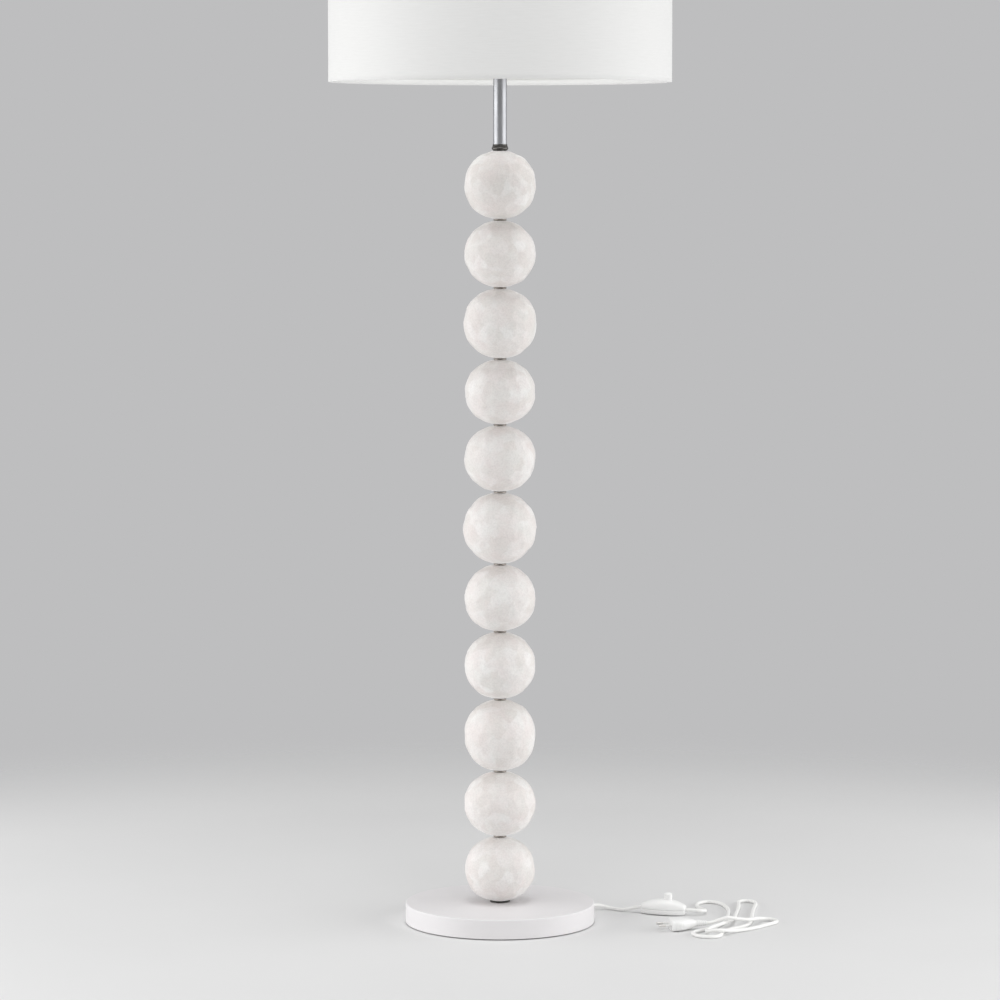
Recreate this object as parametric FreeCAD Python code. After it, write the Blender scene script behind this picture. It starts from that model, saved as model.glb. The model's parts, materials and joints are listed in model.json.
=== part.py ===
import FreeCAD, Part
import math
import os

os.makedirs("parts", exist_ok=True)
V = FreeCAD.Vector
up = V(0, 0, 1)

# ---- driving dimensions, mm. The column stands on the Z axis and the floor is z = 0 ----

# base
base_radius = 140.0
base_top = 30.0
base_edge_round = 1.6
cover_gap = 1.6            # from the floor to the cover's lower edge
cover_wall = 2.0
weight_room = 1.0          # between the weight and the cover's wall
pad_radius = 134.0
pad_thickness = 2.0
recess_radius = 30.0       # room for the nut under the weight
recess_top = 16.0
nut_across_flats = 17.0
nut_height = 6.0
nut_washer_radius = 15.0
nut_washer_thickness = 2.0
foot_washer_radius = 15.0  # washer between the base and the lowest globe
foot_washer_thickness = 2.0
washer_bulge = 1.0         # how far a washer's rounded edge stands out

# column: hand-moulded globes from the lowest to the highest, height and diameter
globe_heights = [95.0, 94.5, 104.5, 97.5, 97.0, 103.5, 96.0, 94.0, 101.0, 96.5, 99.0]
globe_diameters = [104.0, 106.0, 106.0, 104.0, 105.5, 108.0, 105.0, 103.5, 107.5, 104.5, 104.5]
globe_seat = 8.5           # radius of the small flat at each pole
spacer_radius = 9.6
spacer_thickness = 3.0
rod_radius = 4.9
rod_bore = 3.5
globe_bore = 5.3
rod_below_recess = 9.0     # from the recess's top down to the rod's lower end
rod_in_holder = 6.0
coupling_radius = 6.5
coupling_length = 26.0
coupling_room = 0.3
coupled_globe = 6          # the two lengths of rod meet above this globe, counted from the base
collar_height = 9.5
collar_radius = 12.2       # at the widest, above a rounded foot
collar_foot_radius = 8.4
collar_widest = 4.2        # height of the widest place above the globe
collar_lip = 0.7           # wall at the collar's upper end
neck_radius = 10.0
neck_wall = 1.0
neck_socket = 2.5          # how far the neck tube goes into the collar
wire_radius = 1.1
wire_offset = 1.4
wire_height = 4.3          # of the wires under the rod

# shade
rim_height = 1240.0        # lower edge of the shade above the floor
shade_height = 300.0
shade_radius = 250.0
fabric_thickness = 0.9
liner_thickness = 1.0
ring_wire_radius = 1.75
arm_wire_radius = 1.5
hem_depth = 8.0
fitter_rise = 44.0         # from the rim to the middle of the fitter ring
fitter_radius = 31.0
fitter_hole = 20.4
fitter_thickness = 2.0
arm_bend = 9.0
arm_angles = [90.0, 210.0, 330.0]

# lamp holder and bulb
holder_foot = 1256.0       # top of the neck tube
holder_foot_radius = 13.0
holder_radius = 19.8
holder_wall = 3.8
holder_floor = 8.0         # heights above the holder's foot: its floor,
cap_height = 16.0          # the cap's upper edge,
core_height = 30.0         # and the insulating core's face
cap_slope = 10.0
holder_top = 1318.0
shade_ring_radius = 27.0
shade_ring_height = 6.0
ring_grips = 18
grip_radius = 1.2
screw_shell_bore = 13.6
screw_shell_wall = 0.6
screw_shell_height = 28.0
terminal_offset = 9.0
terminal_radius = 1.6
bulb_contact_radius = 4.8
bulb_contact_height = 1.4
bulb_contact_rise = 1.6    # from the core's face to the bulb's contact
insulator_radii = (6.5, 11.0)
insulator_height = 2.6
bulb_cap_radius = 13.2
bulb_cap_height = 22.4
bulb_neck_radius = 14.4
bulb_radius = 30.0
bulb_middle = 1368.0       # height of the bulb's widest part
glass_wall = 1.2

# cord, foot switch and plug
cord_radius = 2.7
exit_angle = 30.0          # where the cord leaves the base, turned from +X towards +Y
exit_height = 8.0
door_radius = 5.0          # hole in the cover for the gland
channel_width = 18.0       # of the cord's channel in the weight
channel_height = 13.0
cord_end = 24.0            # where the sheath ends, from the column's axis
gland_reach = 22.0
gland_neck_radius = 4.9    # in the cover's hole
gland_rim_radius = 6.4     # outside it
gland_rim_length = 3.0
gland_root_radius = 5.2    # of the tapered stem, at the rim
gland_tip_radius = 3.6
flange_radius = 5.9        # inside the cover, in the weight's channel
flange_low = 1.2           # its two faces, from the cover's inside wall
flange_high = 0.2
switch_middle = V(245.3, 52.8, 0)
switch_angle = -17.0
switch_length = 69.0
switch_width = 31.0
switch_end_width = 12.5
switch_height = 24.0
switch_end_height = 15.0
switch_split = 9.0
switch_wall = 1.8
button_offset = 7.0
button_radius = 6.0
button_top = 34.0
button_dome = 2.6
button_room = 0.3
button_foot = 17.5
button_flange = 1.6        # how far its foot stands out under the shell
button_flange_height = 1.8
shell_screw_offset = 22.0
shell_screw_radius = 1.5
shell_screw_head = 2.8     # radius
boss_radius = 3.2
boss_height = 18.0
switch_crown_round = 4.0   # along the upper edges
switch_foot_round = 2.5    # and along the lower
switch_block_size = (24.0, 14.0, 3.0)
spring_radii = (4.4, 3.2)
plug_face = V(250.0, -66.0, 9.0)
plug_angle = 10.0
plug_length = 54.3
plug_shoulder = 34.0       # where the body ends and the strain relief begins
relief_overlap = 2.0
pin_root = 6.0             # how deep the pins sit in the body
pin_spacing = 19.0
pin_length = 19.0
pin_radius = 2.0
sleeve_length = 9.0

# Routes by hand: control points on the cord's middle line, on the floor where nothing lifts it.
lead_route = [
    (140.3, 81.0, 8.0), (147.2, 85.0, 8.0), (157.0, 87.5, 5.0), (169.0, 84.5, 2.8),
    (183.0, 73.0, 2.8), (196.0, 67.6, 5.6), (205.6, 64.95, 9.0), (212.3, 62.9, 9.0),
]
loops_route = [
    (278.3, 42.7, 9.0), (293.0, 38.2, 9.0), (306.0, 46.0, 6.4), (309.0, 62.0, 4.4),
    (302.0, 82.0, 2.8), (297.0, 104.0, 2.8), (301.0, 125.0, 2.8), (315.0, 138.0, 2.8),
    (331.0, 130.0, 2.8), (340.0, 108.0, 2.8), (344.0, 76.0, 2.8), (342.0, 40.0, 2.8),
    (338.0, 6.0, 2.8), (331.0, -28.0, 2.8), (318.0, -56.0, 2.8), (299.0, -76.0, 2.8),
    (282.0, -92.0, 2.8), (281.0, -110.0, 2.8), (294.0, -125.0, 2.8), (312.0, -129.0, 2.8),
    (323.0, -114.0, 2.8), (325.0, -91.0, 2.8), (338.0, -71.0, 2.8), (358.0, -55.0, 2.8),
    (370.0, -29.0, 2.8), (375.0, 6.0, 2.8), (378.0, 45.0, 2.8), (383.0, 84.0, 2.8),
    (388.0, 114.0, 2.8), (386.0, 133.0, 2.8), (375.0, 144.0, 2.8), (365.0, 133.0, 2.8),
    (362.0, 110.0, 2.8), (359.0, 78.0, 2.8), (353.0, 40.0, 2.8), (349.0, 4.0, 3.4),
    (341.0, -34.0, 8.4), (327.0, -62.0, 9.0), (308.0, -80.0, 7.0), (300.0, -96.0, 4.5),
    (307.0, -111.0, 8.6), (323.0, -112.0, 10.0), (337.0, -94.0, 5.0), (356.0, -77.0, 2.8),
    (377.0, -60.0, 2.8), (393.0, -40.0, 2.8), (407.0, -24.0, 2.8), (412.0, -10.0, 2.8),
    (405.0, 0.0, 3.2), (394.0, -4.0, 5.0), (383.0, -20.0, 9.0), (369.0, -38.0, 10.0),
    (351.0, -48.0, 13.0), (335.0, -54.0, 17.2), (322.0, -53.4, 12.8), (311.4, -55.2, 9.0),
    (303.5, -56.6, 9.0),
]


# ---- helpers ----

def save(name, shape):
    if not shape.isValid():
        raise ValueError(name + " isn't a valid solid")
    shape.exportStep("parts/" + name + ".step")
    print(f"{name:20s} solids {len(shape.Solids):2d}  volume {shape.Volume:12.1f} mm3")


def turned(points):
    """A closed outline of (radius, height) corners, turned about the Z axis."""
    outline = Part.makePolygon([V(r, 0, z) for r, z in points] + [V(points[0][0], 0, points[0][1])])
    return Part.Face(outline).revolve(V(0, 0, 0), up, 360)


def turned_profile(pieces):
    """Lines and arcs, each a list of two or three (radius, height) points, turned about the Z axis."""
    edges = []
    for piece in pieces:
        points = [V(r, 0, z) for r, z in piece]
        edge = Part.Arc(*points) if len(points) == 3 else Part.LineSegment(*points)
        edges.append(edge.toShape())
    return Part.Face(Part.Wire(edges)).revolve(V(0, 0, 0), up, 360)


def washer(radius, low, high, hole):
    """A washer with a rounded edge."""
    flat = radius - washer_bulge
    return turned_profile([[(hole, low), (flat, low)],
                           [(flat, low), (radius, (low + high) / 2), (flat, high)],
                           [(flat, high), (hole, high)], [(hole, high), (hole, low)]])


def rod(radius, low, high, hole=0.0):
    solid = Part.makeCylinder(radius, high - low, V(0, 0, low))
    if hole:
        solid = solid.cut(Part.makeCylinder(hole, high - low + 2, V(0, 0, low - 1)))
    return solid


def polar(radius, angle, height=0.0):
    return V(radius * math.cos(math.radians(angle)), radius * math.sin(math.radians(angle)), height)


def placed(shape, angle, place):
    """Turn a shape about the Z axis and carry it to its place on the floor."""
    shape = shape.copy()
    shape.rotate(V(0, 0, 0), up, angle)
    shape.translate(place)
    return shape


def rounded_path(points, share=0.45):
    """Straight runs joined by tangent arcs, each as large as its two runs allow."""
    edges, radii, start = [], [], points[0]
    for before, corner, after in zip(points, points[1:], points[2:]):
        back, ahead = before - corner, after - corner
        setback = share * min(back.Length, ahead.Length)
        half_turn = (math.pi - back.getAngle(ahead)) / 2
        radii.append(setback / math.tan(half_turn))
        back.normalize()
        ahead.normalize()
        first, last = corner + back * setback, corner + ahead * setback
        middle = back + ahead
        middle.normalize()
        depth = radii[-1] / math.cos(half_turn) - radii[-1]
        edges.append(Part.LineSegment(start, first).toShape())
        edges.append(Part.Arc(first, corner + middle * depth, last).toShape())
        start = last
    edges.append(Part.LineSegment(start, points[-1]).toShape())
    return Part.Wire(edges), radii


def tube(points, radius):
    path, radii = rounded_path([V(*p) for p in points])
    first = path.Edges[0]
    ring = Part.Wire(Part.makeCircle(radius, first.valueAt(first.FirstParameter),
                                     first.tangentAt(first.FirstParameter)))
    solid = path.makePipeShell([ring], True, False)
    return solid, path, radii


def least_gap(path, diameter):
    """Least distance between the surfaces of two stretches of one tube, on points 2 mm apart."""
    points = path.discretize(Distance=2.0)
    apart = int(4 * diameter / 2.0)
    distances = [a.distanceToPoint(b) for i, a in enumerate(points) for b in points[i + apart:]]
    return min(distances) - diameter


def rounded_section(place, width, height, corner):
    """A rounded rectangle square to +X at the distance `place`, for lofts."""
    y, z = width / 2, height / 2
    corners = [(y, z), (-y, z), (-y, -z), (y, -z)]
    edges = []
    for (cy, cz), (ny, nz) in zip(corners, corners[1:] + corners[:1]):
        along = V(0, ny - cy, nz - cz)
        along.normalize()
        following = V(0, -along.z, along.y)
        start, end = V(place, cy, cz) + along * corner, V(place, ny, nz) - along * corner
        centre = end + following * corner
        middle = centre + (along - following) * (corner * math.sqrt(0.5))
        edges.append(Part.LineSegment(start, end).toShape())
        edges.append(Part.Arc(end, middle, V(place, ny, nz) + following * corner).toShape())
    return Part.Wire(edges)


# ---- base ----

def base():
    cover = turned([(globe_bore, base_top - cover_wall), (base_radius - cover_wall, base_top - cover_wall),
                    (base_radius - cover_wall, cover_gap), (base_radius, cover_gap),
                    (base_radius, base_top), (globe_bore, base_top)])
    rim = [e for e in cover.Edges if abs(e.BoundBox.ZMin - base_top) < 0.01
           and e.BoundBox.XMax > base_radius - 0.01]
    cover = cover.makeFillet(base_edge_round, rim)
    outward = polar(1, exit_angle)
    door = Part.makeCylinder(door_radius, 20, polar(base_radius - 10, exit_angle, exit_height), outward)
    save("base_cover", cover.cut(door))

    weight = rod(base_radius - cover_wall - weight_room, pad_thickness, base_top - cover_wall, globe_bore)
    weight = weight.cut(rod(recess_radius, pad_thickness - 1, recess_top))
    channel = Part.makeBox(base_radius, channel_width, channel_height,
                           V(recess_radius - 4, -channel_width / 2, pad_thickness - 1))
    save("base_weight", weight.cut(placed(channel, exit_angle, V(0, 0, 0))))
    save("base_pad", rod(pad_radius, 0, pad_thickness))

    washer_low = recess_top - nut_washer_thickness
    save("base_nut_washer", rod(nut_washer_radius, washer_low, recess_top, globe_bore))
    across_corners = nut_across_flats / math.cos(math.radians(30)) / 2
    corners = [polar(across_corners, 60 * i, washer_low - nut_height) for i in range(7)]
    nut = Part.Face(Part.makePolygon(corners)).extrude(up * nut_height)
    save("base_nut", nut.cut(rod(rod_radius, 0, recess_top)))
    save("foot_washer", washer(foot_washer_radius, base_top, base_top + foot_washer_thickness, globe_bore))


def gland():
    """Tapered strain relief in the cover's side, with the cord's last stretch inside the base."""
    inside, tip = base_radius - cover_wall, base_radius + gland_reach
    rim_foot, rim_end = base_radius + 0.1, base_radius + gland_rim_length
    shape = turned([(0, inside - flange_low), (flange_radius, inside - flange_low),
                    (flange_radius, inside - flange_high), (gland_neck_radius, inside - flange_high),
                    (gland_neck_radius, rim_foot), (gland_rim_radius, rim_foot), (gland_rim_radius, rim_end),
                    (gland_root_radius, rim_end + 1.0), (gland_tip_radius, tip), (0, tip)])
    shape.rotate(V(0, 0, 0), V(0, 1, 0), 90)
    save("cord_gland", placed(shape, exit_angle, V(0, 0, exit_height)))
    inner = Part.makeCylinder(cord_radius, inside - flange_low - cord_end, V(cord_end, 0, exit_height),
                              V(1, 0, 0))
    save("cord_in_base", placed(inner, exit_angle, V(0, 0, 0)))


# ---- column ----

def globe(low, height, diameter):
    """A slightly flattened ball between two small flats, bored for the rod."""
    radius = diameter / 2
    half = height / 2 / math.sqrt(1 - (globe_seat / radius) ** 2)
    middle = V(0, 0, low + height / 2)
    side, pole = V(radius, 0, 0), V(0, 0, half)
    # an ellipse starts at its major point, which is kept off the outline
    major, minor = (-side, pole) if radius >= half else (pole, side)
    curve = Part.Ellipse(middle + major, middle + minor, middle)
    foot, head = V(globe_seat, 0, low), V(globe_seat, 0, low + height)
    first, last = sorted([curve.parameter(foot), curve.parameter(head)])
    # a spline stops at the poles, where a whole ellipse turned about its own axis covers the ball twice
    arc = curve.toBSpline(first, last).toShape()
    bore_foot, bore_head = V(globe_bore, 0, low), V(globe_bore, 0, low + height)
    sides = [Part.LineSegment(a, b).toShape() for a, b in
             ((foot, bore_foot), (bore_foot, bore_head), (bore_head, head))]
    return Part.Face(Part.Wire(Part.__sortEdges__([arc] + sides))).revolve(V(0, 0, 0), up, 360)


def column():
    low = base_top + foot_washer_thickness
    spacers, globes = [], []
    for number, (height, diameter) in enumerate(zip(globe_heights, globe_diameters), 1):
        globes.append(globe(low, height, diameter))
        low += height
        if number == coupled_globe:
            joint = low + spacer_thickness / 2
        if number < len(globe_heights):
            spacers.append([low, low + spacer_thickness, globe_bore])
            low += spacer_thickness
    column_top = low
    room = rod(coupling_radius + coupling_room, joint - coupling_length / 2 - coupling_room,
               joint + coupling_length / 2 + coupling_room)
    for number in (coupled_globe, coupled_globe + 1):
        globes[number - 1] = globes[number - 1].cut(room)
    spacers[coupled_globe - 1][2] = coupling_radius + coupling_room
    for number, shape in enumerate(globes, 1):
        save(f"globe_{number:02d}", shape)
    save("spacer_washers", Part.Compound([washer(spacer_radius, *place) for place in spacers]))
    half_coupling = coupling_length / 2
    save("rod_coupling", rod(coupling_radius, joint - half_coupling, joint + half_coupling, rod_radius))
    save("lower_rod", rod(rod_radius, recess_top - rod_below_recess, joint, rod_bore))
    save("upper_rod", rod(rod_radius, joint, holder_foot + rod_in_holder, rod_bore))

    # the collar has a rounded foot, and is drawn in to the tube in a hollow curve above its widest place
    collar_top, widest = column_top + collar_height, column_top + collar_widest
    tube_foot, lip = collar_top - neck_socket, neck_radius + collar_lip
    foot_bend = (collar_radius - 0.8, column_top + 1.5)
    hollow = (lip + 0.25 * (collar_radius - lip), widest + 0.4 * (collar_top - widest))
    corners = [(lip, collar_top), (neck_radius, collar_top), (neck_radius, tube_foot),
               (globe_bore, tube_foot), (globe_bore, column_top), (collar_foot_radius, column_top)]
    outline = [list(pair) for pair in zip(corners, corners[1:])]
    outline.append([corners[-1], foot_bend, (collar_radius, widest)])
    outline.append([(collar_radius, widest), hollow, corners[0]])
    save("top_collar", turned_profile(outline))
    save("neck_tube", rod(neck_radius, tube_foot, holder_foot, neck_radius - neck_wall))
    print(f"column top {column_top:.1f}, neck shows {rim_height - column_top - collar_height:.1f}")


def inner_wires():
    """Two insulated cores from the cord's end in the base, up the rod's bore to the holder."""
    shapes = []
    for side in (-1, 1):
        y = side * wire_offset
        route = [(cord_end, y, exit_height), (cord_end - 9.0, y, wire_height), (0.0, y, wire_height),
                 (0.0, y, holder_foot + holder_floor)]
        shapes.append(placed(tube(route, wire_radius)[0], exit_angle, V(0, 0, 0)))
    save("inner_wires", Part.Compound(shapes))


# ---- lamp holder and bulb ----

def lamp_holder():
    cap_top, core_low = holder_foot + cap_height, holder_foot + holder_floor
    core_top = holder_foot + core_height
    inner = holder_radius - holder_wall
    save("holder_cap", turned([(rod_radius, holder_foot), (holder_foot_radius, holder_foot),
                               (holder_radius, holder_foot + cap_slope), (holder_radius, cap_top),
                               (inner, cap_top), (inner, core_low), (rod_radius, core_low)]))
    save("holder_shell", turned([(inner, cap_top), (holder_radius, cap_top), (holder_radius, holder_top),
                                 (inner, holder_top)]))
    core = rod(inner, core_low, core_top)
    screws = []
    for side in (-1, 1):
        place = V(side * terminal_offset, 0, core_top - 7.0)
        core = core.cut(Part.makeCylinder(terminal_radius, 8.0, place))
        screws.append(Part.makeCylinder(terminal_radius, 6.4, place))
    save("holder_core", core)
    save("terminal_screws", Part.Compound(screws))
    save("holder_contact", Part.makeBox(12.0, 5.0, 1.3, V(-4.0, -2.5, core_top)))
    save("screw_shell", rod(screw_shell_bore + screw_shell_wall, core_top, core_top + screw_shell_height,
                            screw_shell_bore))
    fitter_low = rim_height + fitter_rise - fitter_thickness / 2
    for name, low in (("shade_ring_lower", fitter_low - shade_ring_height),
                      ("shade_ring_upper", fitter_low + fitter_thickness)):
        ring = rod(shade_ring_radius, low, low + shade_ring_height, holder_radius)
        places = [polar(shade_ring_radius + 0.2, i * 360 / ring_grips, low) for i in range(ring_grips)]
        grips = [Part.makeCylinder(grip_radius, shade_ring_height, place) for place in places]
        save(name, ring.cut(grips))


def bulb():
    contact_low = holder_foot + core_height + bulb_contact_rise
    foot = contact_low + bulb_contact_height
    cap_low = foot + insulator_height
    cap_top = cap_low + bulb_cap_height
    save("bulb_contact", rod(bulb_contact_radius, contact_low, foot))
    narrow, wide = insulator_radii
    save("bulb_insulator", turned([(0, foot), (narrow, foot), (wide, cap_low), (0, cap_low)]))
    save("bulb_cap", rod(bulb_cap_radius, cap_low, cap_top))

    def envelope(inset):
        radius, neck = bulb_radius - inset, bulb_neck_radius - inset
        low, shoulder = cap_top + inset, cap_top + 6.0
        join = (0.8 * radius, bulb_middle - 0.6 * radius)        # where the neck's curve meets the ball
        waist = ((neck + join[0]) / 2 - 1.6, (shoulder + join[1]) / 2 + 2.6)
        top = (0, bulb_middle + radius)
        return turned_profile([[(0, low), (neck - 1.2, low)], [(neck - 1.2, low), (neck, shoulder)],
                               [(neck, shoulder), waist, join], [join, (radius, bulb_middle), top],
                               [top, (0, low)]])

    save("bulb_globe", envelope(0).cut(envelope(glass_wall)))


# ---- shade ----

def shade():
    top = rim_height + shade_height
    inner = shade_radius - fabric_thickness
    ring_radius = inner - liner_thickness - ring_wire_radius
    flap = ring_radius - ring_wire_radius - 0.2
    turn_in = fabric_thickness

    # the cloth is one piece: the outside wall, turned in over both wires
    def hem(edge, inward):
        return [(inner, edge + inward * turn_in), (flap, edge + inward * turn_in),
                (flap, edge + inward * hem_depth), (flap - turn_in, edge + inward * hem_depth),
                (flap - turn_in, edge)]

    outline = hem(rim_height, 1) + [(shade_radius, rim_height), (shade_radius, top)]
    outline += list(reversed(hem(top, -1)))
    save("shade_fabric", turned(outline))
    save("shade_liner", rod(inner, rim_height + turn_in, top - turn_in, inner - liner_thickness))

    ring_low = rim_height + turn_in + ring_wire_radius
    ring_high = top - turn_in - ring_wire_radius
    save("shade_top_ring", Part.makeTorus(ring_radius, ring_wire_radius, V(0, 0, ring_high)))

    # lower wire, arms and fitter ring are welded into one frame
    frame = Part.makeTorus(ring_radius, ring_wire_radius, V(0, 0, ring_low))
    fitter_middle = rim_height + fitter_rise
    fitter_low = fitter_middle - fitter_thickness / 2
    arms = []
    cut_corner = arm_bend * (1 - math.sqrt(0.5))
    for angle in arm_angles:
        bend = [polar(ring_radius, angle, ring_low), polar(ring_radius, angle, fitter_middle - arm_bend),
                polar(ring_radius - cut_corner, angle, fitter_middle - cut_corner),
                polar(ring_radius - arm_bend, angle, fitter_middle),
                polar(fitter_radius - 3.0, angle, fitter_middle)]
        path = Part.Wire([Part.LineSegment(bend[0], bend[1]).toShape(), Part.Arc(*bend[1:4]).toShape(),
                          Part.LineSegment(bend[3], bend[4]).toShape()])
        section = Part.Wire(Part.makeCircle(arm_wire_radius, bend[0], up))
        arms.append(path.makePipeShell([section], True, False))
    fitter = rod(fitter_radius, fitter_low, fitter_low + fitter_thickness, fitter_hole)
    save("shade_frame", frame.fuse(arms + [fitter]))


# ---- foot switch ----

def boat(length, width, end_width, low, height, end_height):
    """A slipper shape: long curved sides, and a back that falls towards both ends."""
    x, y, end = length / 2, width / 2, end_width / 2
    outline = Part.Wire([
        Part.Arc(V(-x, -end, low), V(0, -y, low), V(x, -end, low)).toShape(),
        Part.LineSegment(V(x, -end, low), V(x, end, low)).toShape(),
        Part.Arc(V(x, end, low), V(0, y, low), V(-x, end, low)).toShape(),
        Part.LineSegment(V(-x, end, low), V(-x, -end, low)).toShape()])
    block = Part.Face(outline).extrude(up * (height - low))
    back = Part.Wire([
        Part.Arc(V(-x - 1, -width, end_height), V(0, -width, height), V(x + 1, -width, end_height)).toShape(),
        Part.LineSegment(V(x + 1, -width, end_height), V(x + 1, -width, low - 1)).toShape(),
        Part.LineSegment(V(x + 1, -width, low - 1), V(-x - 1, -width, low - 1)).toShape(),
        Part.LineSegment(V(-x - 1, -width, low - 1), V(-x - 1, -width, end_height)).toShape()])
    return block.common(Part.Face(back).extrude(V(0, 2 * width, 0)))


def foot_switch():
    def place(name, shape):
        save(name, placed(shape, switch_angle, switch_middle))

    outside = boat(switch_length, switch_width, switch_end_width, 0, switch_height, switch_end_height)
    crown = [e for e in outside.Edges if e.BoundBox.ZMin > switch_end_height - 1.5
             and e.BoundBox.XLength > switch_length / 2]
    outside = outside.makeFillet(switch_crown_round, crown)
    sole = [e for e in outside.Edges if e.BoundBox.ZMax < 0.01]
    outside = outside.makeFillet(switch_foot_round, sole)
    inside = boat(switch_length - 12.0, switch_width - 2 * switch_wall, 5.0, switch_wall,
                  switch_height - switch_wall, switch_end_height - switch_wall)
    lower_half = Part.makeBox(100, 60, switch_split, V(-50, -30, 0))
    screws, bosses, holes = [], [], []
    for side in (-1, 1):
        foot = V(side * shell_screw_offset, 0, 0)
        bosses.append(Part.makeCylinder(boss_radius, boss_height, foot + up))
        holes.append(Part.makeCylinder(shell_screw_radius, 12.0, foot + up * 0.5))
        holes.append(Part.makeCylinder(shell_screw_head, 1.9, foot))
        head = Part.makeCylinder(shell_screw_head, 1.5, foot + up * 0.4)
        screws.append(Part.makeCylinder(shell_screw_radius, 10.5, foot + up * 1.9).fuse(head))
    shell = outside.cut(inside).fuse([boss.common(outside) for boss in bosses]).cut(holes)
    opening = Part.makeCylinder(button_radius + button_room, 20, V(button_offset, 0, button_foot))
    place("switch_bottom", shell.common(lower_half))
    place("switch_top", shell.cut(lower_half).cut(opening))
    place("switch_screws", Part.Compound(screws))

    dome_radius = (button_radius ** 2 + button_dome ** 2) / (2 * button_dome)
    half_way = math.asin(button_radius / dome_radius) / 2
    edge, crown_top = (button_radius, button_top - button_dome), (0, button_top)
    dome = (dome_radius * math.sin(half_way), button_top - dome_radius * (1 - math.cos(half_way)))
    wide, flange = button_radius + button_flange, button_foot + button_flange_height
    corners = [crown_top, (0, button_foot), (wide, button_foot), (wide, flange), (button_radius, flange),
               edge]
    button = turned_profile([list(pair) for pair in zip(corners, corners[1:])] + [[edge, dome, crown_top]])
    button.translate(V(button_offset, 0, 0))
    place("switch_button", button)

    length, width, thickness = switch_block_size
    block_top = switch_wall + thickness
    place("switch_block", Part.makeBox(length, width, thickness,
                                       V(button_offset - length / 2, -width / 2, switch_wall)))
    spring = rod(spring_radii[0], block_top, button_foot, spring_radii[1])
    spring.translate(V(button_offset, 0, 0))
    place("switch_spring", spring)
    contacts = [Part.makeBox(4.0, 9.0, 0.8, V(button_offset + x, -4.5, block_top)) for x in (-11.0, 7.0)]
    place("switch_contacts", Part.Compound(contacts))


# ---- plug ----

def plug():
    """Flat two-pin mains plug lying on the floor, its pins pointing back along -X of its own frame."""
    def place(name, shape):
        save(name, placed(shape, plug_angle, plug_face))

    thick = 2 * plug_face.z
    sections = [rounded_section(0, 34.0, thick - 2.4, 5.0), rounded_section(1.4, 36.0, thick, 6.0),
                rounded_section(12.0, 35.0, thick, 6.5), rounded_section(24.0, 24.0, thick - 1.5, 6.0),
                rounded_section(plug_shoulder, 12.5, thick - 4.5, 5.0)]
    body = Part.makeLoft(sections, True, True)
    relief = Part.makeCone(5.0, 3.5, plug_length - plug_shoulder + relief_overlap,
                           V(plug_shoulder - relief_overlap, 0, 0), V(1, 0, 0))
    body = body.fuse(relief)
    pins, sleeves = [], []
    thin = pin_radius - 0.4
    back = V(-1, 0, 0)
    for side in (-0.5, 0.5):
        root = V(pin_root, side * pin_spacing, 0)
        body = body.cut(Part.makeCylinder(thin, pin_root + 1.0, root, back))
        shank = Part.makeCylinder(thin, pin_root + sleeve_length, root, back)
        tip_length = pin_length - sleeve_length
        start = root + back * (pin_root + sleeve_length)
        tip = Part.makeCylinder(pin_radius, tip_length, start, back)
        end = [e for e in tip.Edges if e.BoundBox.XMax < start.x - tip_length + 0.01]
        pins.append(shank.fuse(tip.makeFillet(1.2, end)))
        sleeve = Part.makeCylinder(pin_radius, sleeve_length, root + back * pin_root, back)
        sleeves.append(sleeve.cut(shank))
    place("plug_body", body)
    place("plug_pins", Part.Compound(pins))
    place("plug_pin_sleeves", Part.Compound(sleeves))


# ---- cord ----

def cord():
    for name, route in (("cord_lead", lead_route), ("cord_loops", loops_route)):
        solid, path, radii = tube(route, cord_radius)
        save(name, solid)
        wanted = math.pi * cord_radius ** 2 * path.Length
        print(f"  length {path.Length:.0f}, volume {solid.Volume / wanted:.4f} of section x length,"
              f" least gap to itself {least_gap(path, 2 * cord_radius):.2f}")
        print("  radii", " ".join(f"{r:.0f}" for r in radii))


base()
gland()
column()
inner_wires()
lamp_holder()
bulb()
shade()
foot_switch()
plug()
cord()
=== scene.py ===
import bpy, bmesh, json, math
import numpy as np
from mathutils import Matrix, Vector


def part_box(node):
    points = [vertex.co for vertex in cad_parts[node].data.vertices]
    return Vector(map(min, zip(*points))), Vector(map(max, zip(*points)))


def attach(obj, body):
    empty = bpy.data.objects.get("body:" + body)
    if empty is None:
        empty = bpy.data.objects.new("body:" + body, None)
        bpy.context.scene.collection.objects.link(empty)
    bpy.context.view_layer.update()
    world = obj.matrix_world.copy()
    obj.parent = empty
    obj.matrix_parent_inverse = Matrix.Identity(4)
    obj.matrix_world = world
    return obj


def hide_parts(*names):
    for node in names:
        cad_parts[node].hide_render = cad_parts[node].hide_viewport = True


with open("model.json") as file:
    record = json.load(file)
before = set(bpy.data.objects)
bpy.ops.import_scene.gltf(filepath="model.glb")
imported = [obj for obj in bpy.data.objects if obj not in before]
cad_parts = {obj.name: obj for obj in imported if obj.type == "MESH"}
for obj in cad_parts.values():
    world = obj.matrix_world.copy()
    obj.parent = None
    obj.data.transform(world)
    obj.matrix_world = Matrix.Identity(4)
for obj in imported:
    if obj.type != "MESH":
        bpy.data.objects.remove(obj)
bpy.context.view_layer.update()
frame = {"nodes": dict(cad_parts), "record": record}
nodes = frame["nodes"]
print("frame loaded:", len(nodes), "nodes")

mm = 0.001


# sRGB hex to linear, with alpha 1
def linear(hexColor):
    channels = [int(hexColor[i:i + 2], 16) / 255 for i in (1, 3, 5)]
    return tuple(c / 12.92 if c <= 0.04045 else ((c + 0.055) / 1.055) ** 2.4 for c in channels) + (1.0,)


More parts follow.
